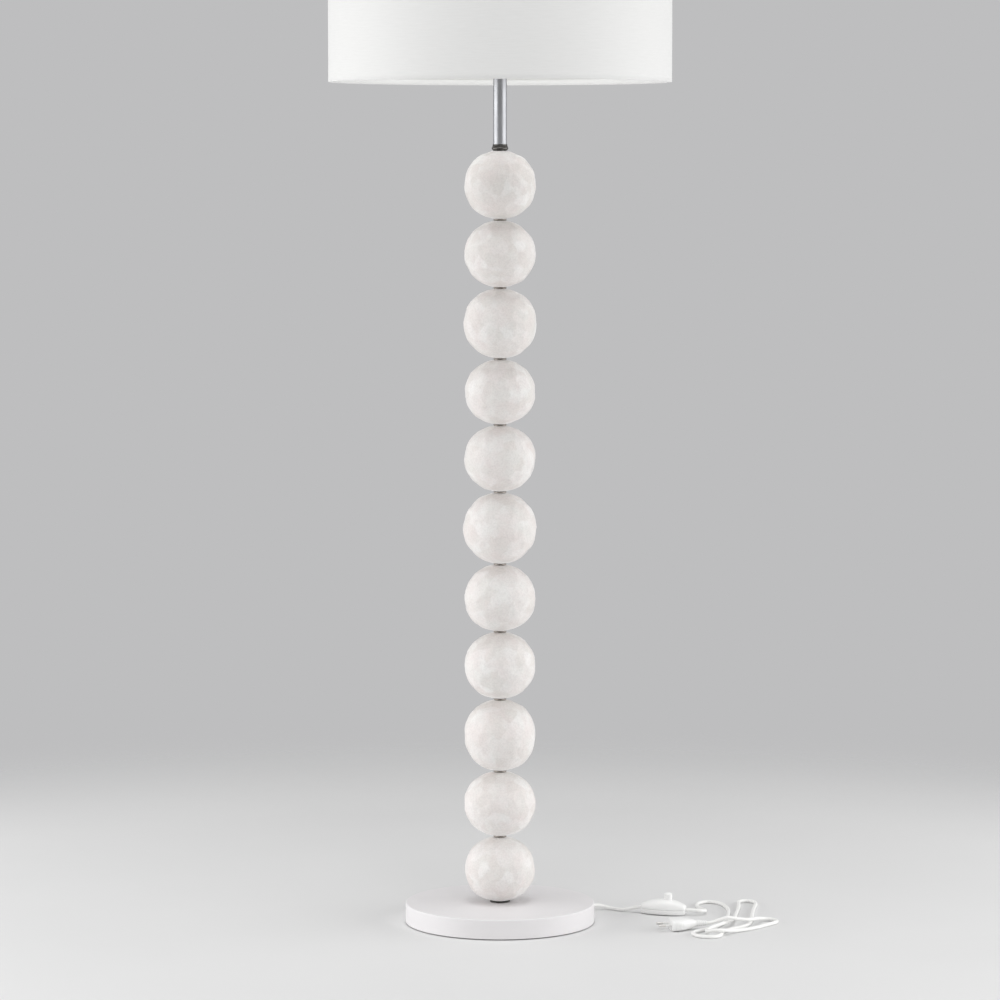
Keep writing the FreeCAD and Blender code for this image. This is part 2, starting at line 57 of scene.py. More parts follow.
def addNode(tree, kind, settings=(), inputs=()):
    # one node with its settings, its socket values and its incoming links
    # (a colour mix has its share on socket 0 and its two colours on 6 and 7)
    node = tree.nodes.new("ShaderNode" + kind)
    for name, value in dict(settings).items():
        setattr(node, name, value)
    for name, value in dict(inputs).items():
        if isinstance(value, bpy.types.NodeSocket):
            tree.links.new(value, node.inputs[name])
        else:
            node.inputs[name].default_value = value
    return node


def newMaterial(name):
    # a material with its shader joined to the output
    material = bpy.data.materials.new(name)
    material.use_nodes = True
    tree = material.node_tree
    tree.nodes.clear()
    shader = addNode(tree, "BsdfPrincipled")
    addNode(tree, "OutputMaterial", (), {"Surface": shader.outputs["BSDF"]})
    return material, tree, shader


cameraSetup = {
    "lens": 136.9,           # mm
    "sensor": 36,            # mm across
    "distance": 5.573,       # metres from the column's axis
    "height": 1.130,
    "tiltDown": 5.14,        # degrees
}


def makeCamera(setup):
    camera = bpy.data.objects.new("camera", bpy.data.cameras.new("camera"))
    bpy.context.collection.objects.link(camera)
    camera.data.lens = setup["lens"]
    camera.data.sensor_width = setup["sensor"]
    camera.location = (0, -setup["distance"], setup["height"])
    camera.rotation_euler = (math.radians(90 - setup["tiltDown"]), 0, 0)
    bpy.context.scene.camera = camera


studioSetup = {
    "backColor": "#BEBEBF",
    "ambient": 0.34,
    "panels": [              # name, place, aims at, width, height, watts
        ("leftPanel", (-2.3, -0.4, 0.65), (0, 0, 0.55), 3.2, 1.5, 45),
        ("rightPanel", (2.3, -0.4, 0.65), (0, 0, 0.55), 3.2, 1.5, 41.5),
        ("topPanel", (0.0, -0.5, 4.6), (0, 0, 0.4), 2.4, 2.4, 68),
        ("frontPanel", (0.0, -1.6, 2.6), (0, 0, 1.4), 1.6, 1.0, 8.5),
    ],
}


def makeStudio(setup):
    # soft light from all round, and a plain grey behind for the camera, metal and glass to see
    scene = bpy.context.scene
    scene.view_settings.view_transform = "Standard"
    world = bpy.data.worlds.new("studioAir")
    scene.world = world
    world.use_nodes = True
    tree = world.node_tree
    tree.nodes.clear()
    path = addNode(tree, "LightPath")
    seen = addNode(tree, "Math", {"operation": "MAXIMUM"},
                   {0: path.outputs["Is Camera Ray"], 1: path.outputs["Is Glossy Ray"]})
    seen = addNode(tree, "Math", {"operation": "MAXIMUM"},
                   {0: seen.outputs[0], 1: path.outputs["Is Transmission Ray"]})
    soft = addNode(tree, "Background", (), {"Color": (1, 1, 1, 1), "Strength": setup["ambient"]})
    back = addNode(tree, "Background", (), {"Color": linear(setup["backColor"]), "Strength": 1.0})
    mix = addNode(tree, "MixShader", (), {0: seen.outputs[0], 1: soft.outputs[0], 2: back.outputs[0]})
    addNode(tree, "OutputWorld", (), {"Surface": mix.outputs[0]})

    for name, place, aim, width, height, watts in setup["panels"]:
        data = bpy.data.lights.new(name, "AREA")
        data.shape = "RECTANGLE"
        data.size, data.size_y, data.energy = width, height, watts
        panel = bpy.data.objects.new(name, data)
        bpy.context.collection.objects.link(panel)
        panel.location = place
        panel.rotation_euler = (Vector(aim) - Vector(place)).to_track_quat("-Z", "Y").to_euler()


floorSetup = {
    "size": 4.2,
    "fadeFrom": 1.0,         # distance from the lamp where the floor begins to fade into the background
    "fadeTo": 2.05,          # and where it is gone, about where the photograph's floor ends
    "dark": "#DFDFDF",
    "light": "#E4E4E4",
    "grain": 400,            # mm
    "rough": 0.8,
}


def makeFloor(setup):
    mesh = bpy.data.meshes.new("floor")
    half = setup["size"] / 2
    mesh.from_pydata([(-half, -half, 0), (half, -half, 0), (half, half, 0), (-half, half, 0)], [],
                     [(0, 1, 2, 3)])
    floor = bpy.data.objects.new("floor", mesh)
    bpy.context.collection.objects.link(floor)
    # matt paint: no gloss, the faintest unevenness
    material, tree, shader = newMaterial("floorPaint")
    place = addNode(tree, "TexCoord").outputs["Object"]
    grain = addNode(tree, "TexNoise", (), {"Vector": place, "Scale": 1 / (setup["grain"] * mm),
                                           "Detail": 3.0})
    tone = addNode(tree, "Mix", {"data_type": "RGBA"},
                   {0: grain.outputs["Fac"], 6: linear(setup["dark"]), 7: linear(setup["light"])})
    tree.links.new(tone.outputs[2], shader.inputs["Base Color"])
    shader.inputs["Roughness"].default_value = setup["rough"]
    away = addNode(tree, "VectorMath", {"operation": "LENGTH"}, {0: place})
    fade = addNode(tree, "MapRange", {"interpolation_type": "SMOOTHSTEP"},
                   {"Value": away.outputs["Value"], "From Min": setup["fadeFrom"],
                    "From Max": setup["fadeTo"]})
    gone = addNode(tree, "BsdfTransparent")
    mix = addNode(tree, "MixShader", (), {0: fade.outputs[0], 1: shader.outputs["BSDF"], 2: gone.outputs[0]})
    output = next(node for node in tree.nodes if node.type == "OUTPUT_MATERIAL")
    tree.links.new(mix.outputs[0], output.inputs["Surface"])
    mesh.materials.append(material)


makeCamera(cameraSetup)
makeStudio(studioSetup)
makeFloor(floorSetup)
print("camera and studio made")


cordSetup = {
    "diameter": 5.4 * mm,
    "leadLength": 0.080,
    "loopsLength": 1.29,
    "roundSteps": 6,         # how finely the section is rounded
    "runSteps": 10,          # and how finely the line is, from point to point
    # control points in mm, from the base's gland to the foot switch
    "lead": [(140.3, 81.0, 8.0), (147.2, 85.0, 8.0), (157.0, 87.5, 5.0), (169.0, 84.5, 2.8),
             (183.0, 73.0, 2.8), (196.0, 67.6, 5.6), (205.6, 64.95, 9.0), (212.3, 62.9, 9.0)],
    # and from the foot switch to the plug
    "loops": [(278.3, 42.7, 9.0), (292.6, 38.4, 9.0), (306.6, 45.6, 6.4), (309.0, 62.0, 4.4),
              (302.0, 82.0, 2.8), (297.0, 104.0, 2.8), (301.0, 125.0, 2.8), (315.0, 138.0, 2.8),
              (331.0, 130.0, 2.8), (340.0, 108.0, 2.8), (344.0, 76.0, 2.8), (342.0, 40.0, 2.8),
              (338.0, 6.0, 2.8), (331.0, -28.0, 2.8), (318.0, -56.0, 2.8), (299.0, -76.0, 2.8),
              (282.0, -92.0, 2.8), (281.0, -110.0, 2.8), (294.0, -125.0, 2.8), (312.0, -129.0, 2.8),
              (323.0, -114.0, 2.8), (325.0, -91.0, 2.8), (338.0, -71.0, 2.8), (358.0, -55.0, 2.8),
              (370.0, -29.0, 2.8), (375.0, 6.0, 2.8), (378.0, 45.0, 2.8), (383.0, 84.0, 2.8),
              (388.0, 114.0, 2.8), (387.8, 124.5, 2.8), (387.4, 134.2, 2.8), (380.0, 141.6, 2.8),
              (369.9, 141.9, 2.8), (362.6, 134.4, 2.8), (362.3, 124.0, 2.8), (362.0, 110.0, 2.8),
              (359.0, 78.0, 2.8), (353.0, 40.0, 2.8), (349.0, 4.0, 3.4), (341.0, -34.0, 8.4),
              (327.0, -62.0, 9.0), (308.0, -80.0, 7.0), (300.0, -96.0, 4.5), (307.0, -111.0, 8.6),
              (323.0, -112.0, 10.0), (337.0, -94.0, 5.0), (356.0, -77.0, 2.8), (377.0, -60.0, 2.8),
              (393.0, -40.0, 2.8), (405.0, -26.0, 2.8), (410.8, -16.6, 2.8), (410.0, -6.8, 2.8),
              (402.9, -0.2, 3.2), (393.0, -0.6, 4.2), (386.0, -8.2, 6.0), (382.0, -21.0, 9.0),
              (369.0, -38.0, 10.0), (351.0, -48.0, 13.0), (335.0, -54.0, 17.2), (322.0, -53.4, 12.8),
              (311.4, -55.2, 9.0), (303.5, -56.6, 9.0)],
}


def cordCurve(name, route, setup):
    curve = bpy.data.curves.new(name, "CURVE")
    curve.dimensions = "3D"
    curve.bevel_depth = setup["diameter"] / 2
    curve.bevel_resolution = setup["roundSteps"]
    curve.resolution_u = setup["runSteps"]
    curve.use_fill_caps = True
    spline = curve.splines.new("NURBS")
    spline.points.add(len(route) - 1)
    for point, place in zip(spline.points, route):
        point.co = (place[0] * mm, place[1] * mm, place[2] * mm, 1)
    spline.order_u = 3
    spline.use_endpoint_u = True
    piece = bpy.data.objects.new(name, curve)
    bpy.context.collection.objects.link(piece)
    return piece


def makeCords(setup, material):
    lead = cordCurve("cordLead", setup["lead"], setup)
    loops = cordCurve("cordLoops", setup["loops"], setup)
    for piece, node in ((lead, "cord_lead"), (loops, "cord_loops")):
        piece.data.materials.append(material)
        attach(piece, "lamp")
        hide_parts(node)
    return lead, loops


plasticSkin = {              # shared by every plastic
    "roughSwing": 0.05,      # smoother and rougher by this
    "depth": 0.1,            # mm
}


def plasticFinish(name, setup):
    # moulded or extruded plastic: an even body colour with a faint flow mottle and a fine skin
    material, tree, shader = newMaterial(name)
    place = addNode(tree, "TexCoord").outputs["Object"]
    mottle = addNode(tree, "TexNoise", (), {"Vector": place, "Scale": 1 / (setup["mottle"] * mm),
                                            "Detail": 2.0})
    tone = addNode(tree, "Mix", {"data_type": "RGBA"},
                   {0: mottle.outputs["Fac"], 6: linear(setup["dark"]), 7: linear(setup["light"])})
    rough = addNode(tree, "MapRange", (), {"Value": mottle.outputs["Fac"],
                                           "To Min": setup["rough"] - plasticSkin["roughSwing"],
                                           "To Max": setup["rough"] + plasticSkin["roughSwing"]})
    skin = addNode(tree, "TexNoise", (), {"Vector": place, "Scale": 1 / (setup["skin"] * mm), "Detail": 3.0})
    bump = addNode(tree, "Bump", (), {"Height": skin.outputs["Fac"], "Strength": setup["bump"],
                                      "Distance": plasticSkin["depth"] * mm})
    tree.links.new(tone.outputs[2], shader.inputs["Base Color"])
    tree.links.new(rough.outputs[0], shader.inputs["Roughness"])
    tree.links.new(bump.outputs[0], shader.inputs["Normal"])
    shader.inputs["IOR"].default_value = setup["ior"]
    return material


metalSkin = {                # shared by every metal
    "smudge": 22,            # mm, size of the duller and brighter places
    "smudgeFrom": 0.3, "smudgeTo": 0.7,
    "smoothest": 0.8, "roughest": 1.25,     # of the finish's own roughness
    "depth": 0.05,           # mm, of the grain
}


def metalFinish(name, setup):
    # plated, turned or polished metal: two close tones, and a finish that is a little uneven
    material, tree, shader = newMaterial(name)
    place = addNode(tree, "TexCoord").outputs["Object"]
    stretch = addNode(tree, "Mapping", (), {"Vector": place, "Scale": setup["stretch"]})
    grain = addNode(tree, "TexNoise", (), {"Vector": stretch.outputs[0], "Scale": 1 / (setup["grain"] * mm),
                                           "Detail": 4.0})
    smudge = addNode(tree, "TexNoise", (), {"Vector": place, "Scale": 1 / (metalSkin["smudge"] * mm),
                                            "Detail": 2.0})
    tone = addNode(tree, "Mix", {"data_type": "RGBA"},
                   {0: smudge.outputs["Fac"], 6: linear(setup["dark"]), 7: linear(setup["light"])})
    rough = addNode(tree, "MapRange", (), {"Value": smudge.outputs["Fac"],
                                           "From Min": metalSkin["smudgeFrom"],
                                           "From Max": metalSkin["smudgeTo"],
                                           "To Min": setup["rough"] * metalSkin["smoothest"],
                                           "To Max": setup["rough"] * metalSkin["roughest"]})
    bump = addNode(tree, "Bump", (), {"Height": grain.outputs["Fac"], "Strength": setup["bump"],
                                      "Distance": metalSkin["depth"] * mm})
    tree.links.new(tone.outputs[2], shader.inputs["Base Color"])
    tree.links.new(rough.outputs[0], shader.inputs["Roughness"])
    tree.links.new(bump.outputs[0], shader.inputs["Normal"])
    shader.inputs["Metallic"].default_value = 1.0
    return material


paperPulpSetup = {
    "dark": "#E6E3DF", "light": "#F3F2F0", "pink": "#EADFDD",
    "cloud": 30,             # mm, size of the pinkish clouds
    "cloudFrom": 0.34, "cloudTo": 0.66, "cloudShare": 0.5,
    "patch": 19,             # mm, size of a lump of pulp
    "patchWander": 12,       # mm, how far the patches' edges stray
    "patchSoft": 0.25,
    "tooth": 2.6, "toothDepth": 0.30,       # mm
    "toothShadeFrom": 0.34, "toothShadeTo": 0.58,
    "toothShadeDark": 0.90,       # painted shade: the tooth's hollows are darker by this factor
    "dent": 8, "dentDepth": 0.5,            # mm
    "dentSoft": 0.7,
    "rough": 0.92, "gloss": 0.3,
    "fuzz": 1.0, "fuzzRough": 0.28,
}


def paperPulp(setup):
    # paper pulp and plaster, pressed by hand: dead matt, warm off-white, in patches of slightly different
    # tone where lumps of pulp were laid beside each other, with soft dents and a fine tooth
    material, tree, shader = newMaterial("handPressedPaperPulp")
    place = addNode(tree, "TexCoord").outputs["Object"]
    drift = addNode(tree, "TexNoise", (), {"Vector": place, "Scale": 1 / (setup["cloud"] * mm), "Detail": 4.0,
                                           "Roughness": 0.6})
    bent = addNode(tree, "VectorMath", {"operation": "MULTIPLY_ADD"},
                   {0: drift.outputs["Color"], 1: (setup["patchWander"] * mm,) * 3, 2: place})
    patch = addNode(tree, "TexVoronoi", {"feature": "SMOOTH_F1"},
                    {"Vector": bent.outputs[0], "Scale": 1 / (setup["patch"] * mm),
                     "Smoothness": setup["patchSoft"]})
    share = addNode(tree, "SeparateColor", (), {0: patch.outputs["Color"]})
    tone = addNode(tree, "Mix", {"data_type": "RGBA"},
                   {0: share.outputs[0], 6: linear(setup["dark"]), 7: linear(setup["light"])})
    cloud = addNode(tree, "MapRange", (), {"Value": drift.outputs["Fac"], "From Min": setup["cloudFrom"],
                                           "From Max": setup["cloudTo"], "To Max": setup["cloudShare"]})
    tone = addNode(tree, "Mix", {"data_type": "RGBA"},
                   {0: cloud.outputs[0], 6: tone.outputs[2], 7: linear(setup["pink"])})
    tooth = addNode(tree, "TexNoise", (), {"Vector": place, "Scale": 1 / (setup["tooth"] * mm), "Detail": 6.0,
                                           "Roughness": 0.65})
    dents = addNode(tree, "TexVoronoi", {"feature": "SMOOTH_F1"},
                    {"Vector": place, "Scale": 1 / (setup["dent"] * mm), "Smoothness": setup["dentSoft"]})
    # painted shade: the colour darkens where the tooth's bump sinks
    toothShade = addNode(tree, "MapRange", (), {"Value": tooth.outputs["Fac"], "From Min": setup["toothShadeFrom"],
                                           "From Max": setup["toothShadeTo"], "To Min": setup["toothShadeDark"]})
    toothShaded = addNode(tree, "Mix", {"data_type": "RGBA", "blend_type": "MULTIPLY"},
                      {0: 1.0, 6: tone.outputs[2], 7: toothShade.outputs[0]})
    low = addNode(tree, "Bump", (), {"Height": dents.outputs["Distance"], "Strength": 0.5,
                                     "Distance": setup["dentDepth"] * mm})
    fine = addNode(tree, "Bump", (), {"Height": tooth.outputs["Fac"], "Strength": 0.6,
                                      "Distance": setup["toothDepth"] * mm, "Normal": low.outputs[0]})
    tree.links.new(toothShaded.outputs[2], shader.inputs["Base Color"])
    tree.links.new(fine.outputs[0], shader.inputs["Normal"])
    shader.inputs["Roughness"].default_value = setup["rough"]
    shader.inputs["Specular IOR Level"].default_value = setup["gloss"]
    # loose fibre ends catch the light at the rim
    shader.inputs["Sheen Weight"].default_value = setup["fuzz"]
    shader.inputs["Sheen Roughness"].default_value = setup["fuzzRough"]
    return material


powderCoatSetup = {
    "dark": "#E5E3E4", "light": "#EBE9EA",
    "haze": 70,                             # mm
    "peel": 1.6, "peelDepth": 0.08,         # mm
    "smoothest": 0.44, "roughest": 0.56,
    "bump": 0.35, "ior": 1.5,
}


def powderCoat(setup):
    # sprayed and baked powder on steel: satin white with the slight ripple called orange peel
    material, tree, shader = newMaterial("satinPowderCoat")
    place = addNode(tree, "TexCoord").outputs["Object"]
    peel = addNode(tree, "TexNoise", (), {"Vector": place, "Scale": 1 / (setup["peel"] * mm), "Detail": 2.0})
    haze = addNode(tree, "TexNoise", (), {"Vector": place, "Scale": 1 / (setup["haze"] * mm), "Detail": 3.0})
    tone = addNode(tree, "Mix", {"data_type": "RGBA"},
                   {0: haze.outputs["Fac"], 6: linear(setup["dark"]), 7: linear(setup["light"])})
    rough = addNode(tree, "MapRange", (), {"Value": haze.outputs["Fac"], "To Min": setup["smoothest"],
                                           "To Max": setup["roughest"]})
    bump = addNode(tree, "Bump", (), {"Height": peel.outputs["Fac"], "Strength": setup["bump"],
                                      "Distance": setup["peelDepth"] * mm})
    tree.links.new(tone.outputs[2], shader.inputs["Base Color"])
    tree.links.new(rough.outputs[0], shader.inputs["Roughness"])
    tree.links.new(bump.outputs[0], shader.inputs["Normal"])
    shader.inputs["IOR"].default_value = setup["ior"]
    return material


clothSetup = {
    "dark": "#ECECEB", "light": "#F1F1F0",
    "radius": 0.25,                         # of the drum, metres
    "thread": 1.3,                          # mm; the real one is 0.4 mm, too fine to show
    "threadDepth": 0.12,                    # mm
    "threadTone": 0.25,                     # how much the threads add to the tone
    "wobble": 9, "wobbleShare": 0.5,        # mm along which the threads rise and fall, and how much
    "slub": 24, "slubThin": 14.0,           # mm long, and this many times thinner
    "slubFrom": 0.45, "slubTo": 1.05,
    "rough": 0.85, "gloss": 0.25, "nap": 0.08,
}


def wovenShadeCloth(setup):
    # cotton and polyester in a plain weave, laminated to its liner: fine crossing threads with slubs
    material, tree, shader = newMaterial("laminatedPlainWeave")
    place = addNode(tree, "TexCoord").outputs["Object"]
    axes = addNode(tree, "SeparateXYZ", (), {0: place})
    turn = addNode(tree, "Math", {"operation": "ARCTAN2"}, {0: axes.outputs["Y"], 1: axes.outputs["X"]})
    along = addNode(tree, "Math", {"operation": "MULTIPLY"}, {0: turn.outputs[0], 1: setup["radius"]})
    flat = addNode(tree, "CombineXYZ", (), {0: along.outputs[0], 1: axes.outputs["Z"]})
    wobble = addNode(tree, "TexNoise", (), {"Vector": flat.outputs[0], "Scale": 1 / (setup["wobble"] * mm),
                                            "Detail": 2.0})
    scale = 2 * math.pi / (setup["thread"] * mm) / 20       # a band texture has scale x 20 radians a metre
    weave = []
    for direction in ("X", "Y"):
        threads = addNode(tree, "TexWave", {"bands_direction": direction},
                          {"Vector": flat.outputs[0], "Scale": scale, "Distortion": 0.6, "Detail": 1.0,
                           "Detail Scale": 1.5})
        weave.append(threads.outputs["Fac"])
    cross = addNode(tree, "Math", {"operation": "ADD"}, {0: weave[0], 1: weave[1]})
    slubs = addNode(tree, "Mapping", (), {"Vector": flat.outputs[0], "Scale": (1.0, setup["slubThin"], 1.0)})
    slub = addNode(tree, "TexNoise", (), {"Vector": slubs.outputs[0], "Scale": 1 / (setup["slub"] * mm),
                                          "Detail": 3.0})
    shade = addNode(tree, "Math", {"operation": "MULTIPLY_ADD"},
                    {0: cross.outputs[0], 1: setup["threadTone"], 2: slub.outputs["Fac"]})
    spread = addNode(tree, "MapRange", (), {"Value": shade.outputs[0], "From Min": setup["slubFrom"],
                                            "From Max": setup["slubTo"]})
    tone = addNode(tree, "Mix", {"data_type": "RGBA"},
                   {0: spread.outputs[0], 6: linear(setup["dark"]), 7: linear(setup["light"])})
    height = addNode(tree, "Math", {"operation": "MULTIPLY_ADD"},
                     {0: wobble.outputs["Fac"], 1: setup["wobbleShare"], 2: cross.outputs[0]})
    bump = addNode(tree, "Bump", (), {"Height": height.outputs[0], "Strength": 0.3,
                                      "Distance": setup["threadDepth"] * mm})
    tree.links.new(tone.outputs[2], shader.inputs["Base Color"])
    tree.links.new(bump.outputs[0], shader.inputs["Normal"])
    shader.inputs["Roughness"].default_value = setup["rough"]
    shader.inputs["Sheen Weight"].default_value = setup["nap"]
    shader.inputs["Specular IOR Level"].default_value = setup["gloss"]
    return material


concreteSetup = {
    "dark": "#77746F", "light": "#A19D97",
    "cloud": 12,                            # mm
    "pit": 5, "pitDepth": 0.6,              # mm
    "pitFrom": 0.05, "pitTo": 0.25,
    "rough": 0.95,
}


def castConcrete(setup):
    # cast concrete: grey, full of small pits from trapped air
    material, tree, shader = newMaterial("castConcrete")
    place = addNode(tree, "TexCoord").outputs["Object"]
    cloud = addNode(tree, "TexNoise", (), {"Vector": place, "Scale": 1 / (setup["cloud"] * mm),
                                           "Detail": 8.0})
    pits = addNode(tree, "TexVoronoi", (), {"Vector": place, "Scale": 1 / (setup["pit"] * mm)})
    pit = addNode(tree, "MapRange", (), {"Value": pits.outputs["Distance"], "From Min": setup["pitFrom"],
                                         "From Max": setup["pitTo"]})
    tone = addNode(tree, "Mix", {"data_type": "RGBA"},
                   {0: cloud.outputs["Fac"], 6: linear(setup["dark"]), 7: linear(setup["light"])})
    bump = addNode(tree, "Bump", (), {"Height": pit.outputs[0], "Strength": 0.7,
                                      "Distance": setup["pitDepth"] * mm})
    tree.links.new(tone.outputs[2], shader.inputs["Base Color"])
    tree.links.new(bump.outputs[0], shader.inputs["Normal"])
    shader.inputs["Roughness"].default_value = setup["rough"]
    return material


feltFinish = {
    "dark": "#6F6C67", "light": "#97938C",
    "fibre": 1.6, "fibreDepth": 0.4,        # mm
    "nap": 0.4, "rough": 1.0,
}


def pressedFelt(setup):
    # wool felt: fibres pressed flat in every direction, so a soft, slightly mottled nap
    material, tree, shader = newMaterial("pressedFelt")
    place = addNode(tree, "TexCoord").outputs["Object"]
    fibre = addNode(tree, "TexNoise", (), {"Vector": place, "Scale": 1 / (setup["fibre"] * mm), "Detail": 6.0,
                                           "Distortion": 2.5})
    tone = addNode(tree, "Mix", {"data_type": "RGBA"},
                   {0: fibre.outputs["Fac"], 6: linear(setup["dark"]), 7: linear(setup["light"])})
    bump = addNode(tree, "Bump", (), {"Height": fibre.outputs["Fac"], "Strength": 0.8,
                                      "Distance": setup["fibreDepth"] * mm})
    tree.links.new(tone.outputs[2], shader.inputs["Base Color"])
    tree.links.new(bump.outputs[0], shader.inputs["Normal"])
    shader.inputs["Roughness"].default_value = setup["rough"]
    shader.inputs["Sheen Weight"].default_value = setup["nap"]
    return material


opalSetup = {
    "dark": "#EFEFEB", "light": "#F7F7F4",
    "milk": 18,                             # mm
    "smoothest": 0.10, "roughest": 0.16,
    "milkiness": 0.3, "depth": 6 * mm,      # how much light goes into the glass, and how far
    "ior": 1.5,
}


def opalGlass(setup):
    # blown glass with an opal coat inside: milky white, smooth and glossy outside
    material, tree, shader = newMaterial("blownOpalGlass")
    place = addNode(tree, "TexCoord").outputs["Object"]
    milk = addNode(tree, "TexNoise", (), {"Vector": place, "Scale": 1 / (setup["milk"] * mm), "Detail": 2.0})
    tone = addNode(tree, "Mix", {"data_type": "RGBA"},
                   {0: milk.outputs["Fac"], 6: linear(setup["dark"]), 7: linear(setup["light"])})
    rough = addNode(tree, "MapRange", (), {"Value": milk.outputs["Fac"], "To Min": setup["smoothest"],
                                           "To Max": setup["roughest"]})
    tree.links.new(tone.outputs[2], shader.inputs["Base Color"])
    tree.links.new(rough.outputs[0], shader.inputs["Roughness"])
    shader.inputs["Subsurface Weight"].default_value = setup["milkiness"]
    shader.inputs["Subsurface Radius"].default_value = (setup["depth"],) * 3
    shader.inputs["IOR"].default_value = setup["ior"]
    return material


# in the plain finishes below, grain, mottle and skin are sizes in mm
finishes = {
    "plaster": paperPulp(paperPulpSetup),
    "painted_steel": powderCoat(powderCoatSetup),
    "shade_cloth": wovenShadeCloth(clothSetup),
    "cast_weight": castConcrete(concreteSetup),
    "felt": pressedFelt(feltFinish),
    "opal_glass": opalGlass(opalSetup),
    # chromium on steel tube, worn a little dull: a grey, softly blurred mirror
    "chrome": metalFinish("wornChromePlate", {
        "dark": "#9A9B9E", "light": "#A5A6A9", "rough": 0.33, "grain": 1.2, "stretch": (1, 1, 0.05),
        "bump": 0.05}),
    # dark nickel on turned steel: a dark grey satin
    "dark_steel": metalFinish("darkNickelPlate", {
        "dark": "#4C4A48", "light": "#5D5B59", "rough": 0.34, "grain": 0.6, "stretch": (1, 1, 1),
        "bump": 0.2}),
    # bright zinc on rolled steel: pale grey with a spangle
    "zinc_steel": metalFinish("brightZincPlate", {
        "dark": "#A2A5A8", "light": "#BEC0C1", "rough": 0.32, "grain": 1.5, "stretch": (1, 1, 1),
        "bump": 0.2}),
    # turned and pressed brass: warm yellow, with fine turning marks
    "brass": metalFinish("pressedBrass", {
        "dark": "#C29A4E", "light": "#D4B06A", "rough": 0.25, "grain": 0.8, "stretch": (1, 1, 6),
        "bump": 0.15}),
    # nickel on brass, a little tarnished: warm grey
    "nickel": metalFinish("nickelPlate", {
        "dark": "#8F8A84", "light": "#A09B95", "rough": 0.30, "grain": 0.7, "stretch": (1, 1, 1),
        "bump": 0.1}),
    # bright nickel on the plug's brass pins: pale and smooth
    "bright_nickel": metalFinish("brightNickelPlate", {
        "dark": "#DAD8D4", "light": "#E6E4E1", "rough": 0.36, "grain": 0.7, "stretch": (1, 1, 1),
        "bump": 0.1}),
    # injection-moulded ABS from an eroded mould: white with a low gloss
    "gloss_plastic": plasticFinish("mouldedGlossAbs", {
        "dark": "#F2F2F1", "light": "#F8F8F7", "rough": 0.34, "mottle": 14, "skin": 0.8, "bump": 0.12,
        "ior": 1.54}),
    # glass-filled polyamide: white, satin
    "white_plastic": plasticFinish("mouldedPolyamide", {
        "dark": "#E8E8E6", "light": "#F0F0EE", "rough": 0.48, "mottle": 10, "skin": 0.7, "bump": 0.25,
        "ior": 1.53}),
    # extruded soft PVC sheath: white, waxy, with a faintly uneven skin
    "cable": plasticFinish("extrudedSoftPvc", {
        "dark": "#F3F3F1", "light": "#F9F9F7", "rough": 0.38, "mottle": 7, "skin": 1.2, "bump": 0.15,
        "ior": 1.53}),
    # rolled styrene sheet, which lets light through: smooth and even
    "styrene": plasticFinish("rolledStyreneSheet", {
        "dark": "#E9E9E7", "light": "#F1F1EF", "rough": 0.42, "mottle": 60, "skin": 3.0, "bump": 0.06,
        "ior": 1.59}),
    # steel wire under white powder: satin, a little lumpy
    "white_wire": plasticFinish("powderCoatedWire", {
        "dark": "#EBEBEA", "light": "#F1F1F0", "rough": 0.45, "mottle": 9, "skin": 1.0, "bump": 0.3,
        "ior": 1.5}),
    # pressed and glazed steatite: cream, glossy
    "ceramic": plasticFinish("glazedSteatite", {
        "dark": "#E4E0D6", "light": "#EFEBE2", "rough": 0.15, "mottle": 6, "skin": 2.0, "bump": 0.1,
        "ior": 1.6}),
    # fused black glass in the bulb's foot: black, glossy
    "black_glass": plasticFinish("fusedBlackGlass", {
        "dark": "#0C0C0D", "light": "#1A1A1B", "rough": 0.12, "mottle": 4, "skin": 2.0, "bump": 0.1,
        "ior": 1.55}),
    # pressed phenolic: brown-black, dull
    "dark_plastic": plasticFinish("pressedPhenolic", {
        "dark": "#15120F", "light": "#221D19", "rough": 0.4, "mottle": 3, "skin": 0.9, "bump": 0.3,
        "ior": 1.6}),
}


def dressNodes():
    # every solid takes the finish of its slot
    for part in frame["record"]["subparts"]:
        mesh = nodes[part["node"]].data
        mesh.materials.clear()
        mesh.materials.append(finishes[part["material_slot"]])


dressNodes()
cordLead, cordLoops = makeCords(cordSetup, finishes["cable"])
print("finishes made and cords laid")


globeSetup = {
    "count": 11,
    "around": 168,
    "rings": 104,
    "seat": 8.5 * mm,        # flat at each pole, where the washers bear
    "fullness": 2.12,        # exponent of the outline; 2 is a plain ellipse, more is squarer
    "seed": 40,              # each globe's own is this and its number
    "facets": 84,            # thumb-sized flats pressed by hand
    "facetStray": 0.16,      # how unevenly they are laid
    "facetPlane": 0.981,     # distance of a flat from the middle, of the radius
    "facetEdge": 430.0,      # higher is sharper
    "lump": 0.5 * mm, "lumpSize": 55 * mm,
    "ripple": 0.16 * mm, "rippleSize": 9 * mm,
    "calm": 16 * mm,         # the flats and lumps fade out over this width round each seat
}


def facetNormals(setup, seed):
    # directions spread evenly over a sphere, each nudged at random
    random = np.random.RandomState(seed)
    count = setup["facets"]
    index = np.arange(count) + 0.5
    height = 1 - 2 * index / count
    goldenTurn = math.pi * (1 + 5 ** 0.5)
    angle = index * goldenTurn + random.uniform(0, 2 * math.pi)
    flat = np.sqrt(1 - height ** 2)
    normals = np.stack([flat * np.cos(angle), flat * np.sin(angle), height], 1)
    normals += random.normal(0, setup["facetStray"], normals.shape)
    return normals / np.linalg.norm(normals, axis=1)[:, None], random


